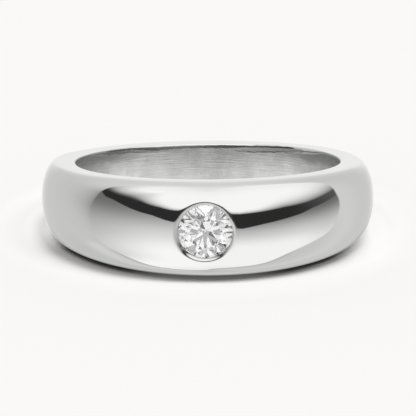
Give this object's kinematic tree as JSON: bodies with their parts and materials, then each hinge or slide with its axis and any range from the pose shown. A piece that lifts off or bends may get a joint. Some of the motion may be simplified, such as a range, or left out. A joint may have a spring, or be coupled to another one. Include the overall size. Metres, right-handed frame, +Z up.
{
  "type": "christening ring",
  "caption": "Small domed finger ring, wide at the front and narrow at the back, with a round brilliant set flush in its head.",
  "frame": {"origin": "where the axis of the finger hole meets the plane that the lower rim lies on", "axes": "+Z up from the surface the ring lies on; -Y towards the stone at the front of the ring; +X to the right of someone who looks at the stone. The finger axis leans 5.24 degrees from +Z towards +Y, because the rims taper and the lower one is flat on the surface."},
  "size_m": [0.015, 0.0154, 0.0043],
  "materials": {
    "white_gold": "polished",
    "brilliant": "polished"
  },
  "bodies": {
    "root": {"band": "white_gold", "stone": "brilliant"}
  },
  "joints": []
}
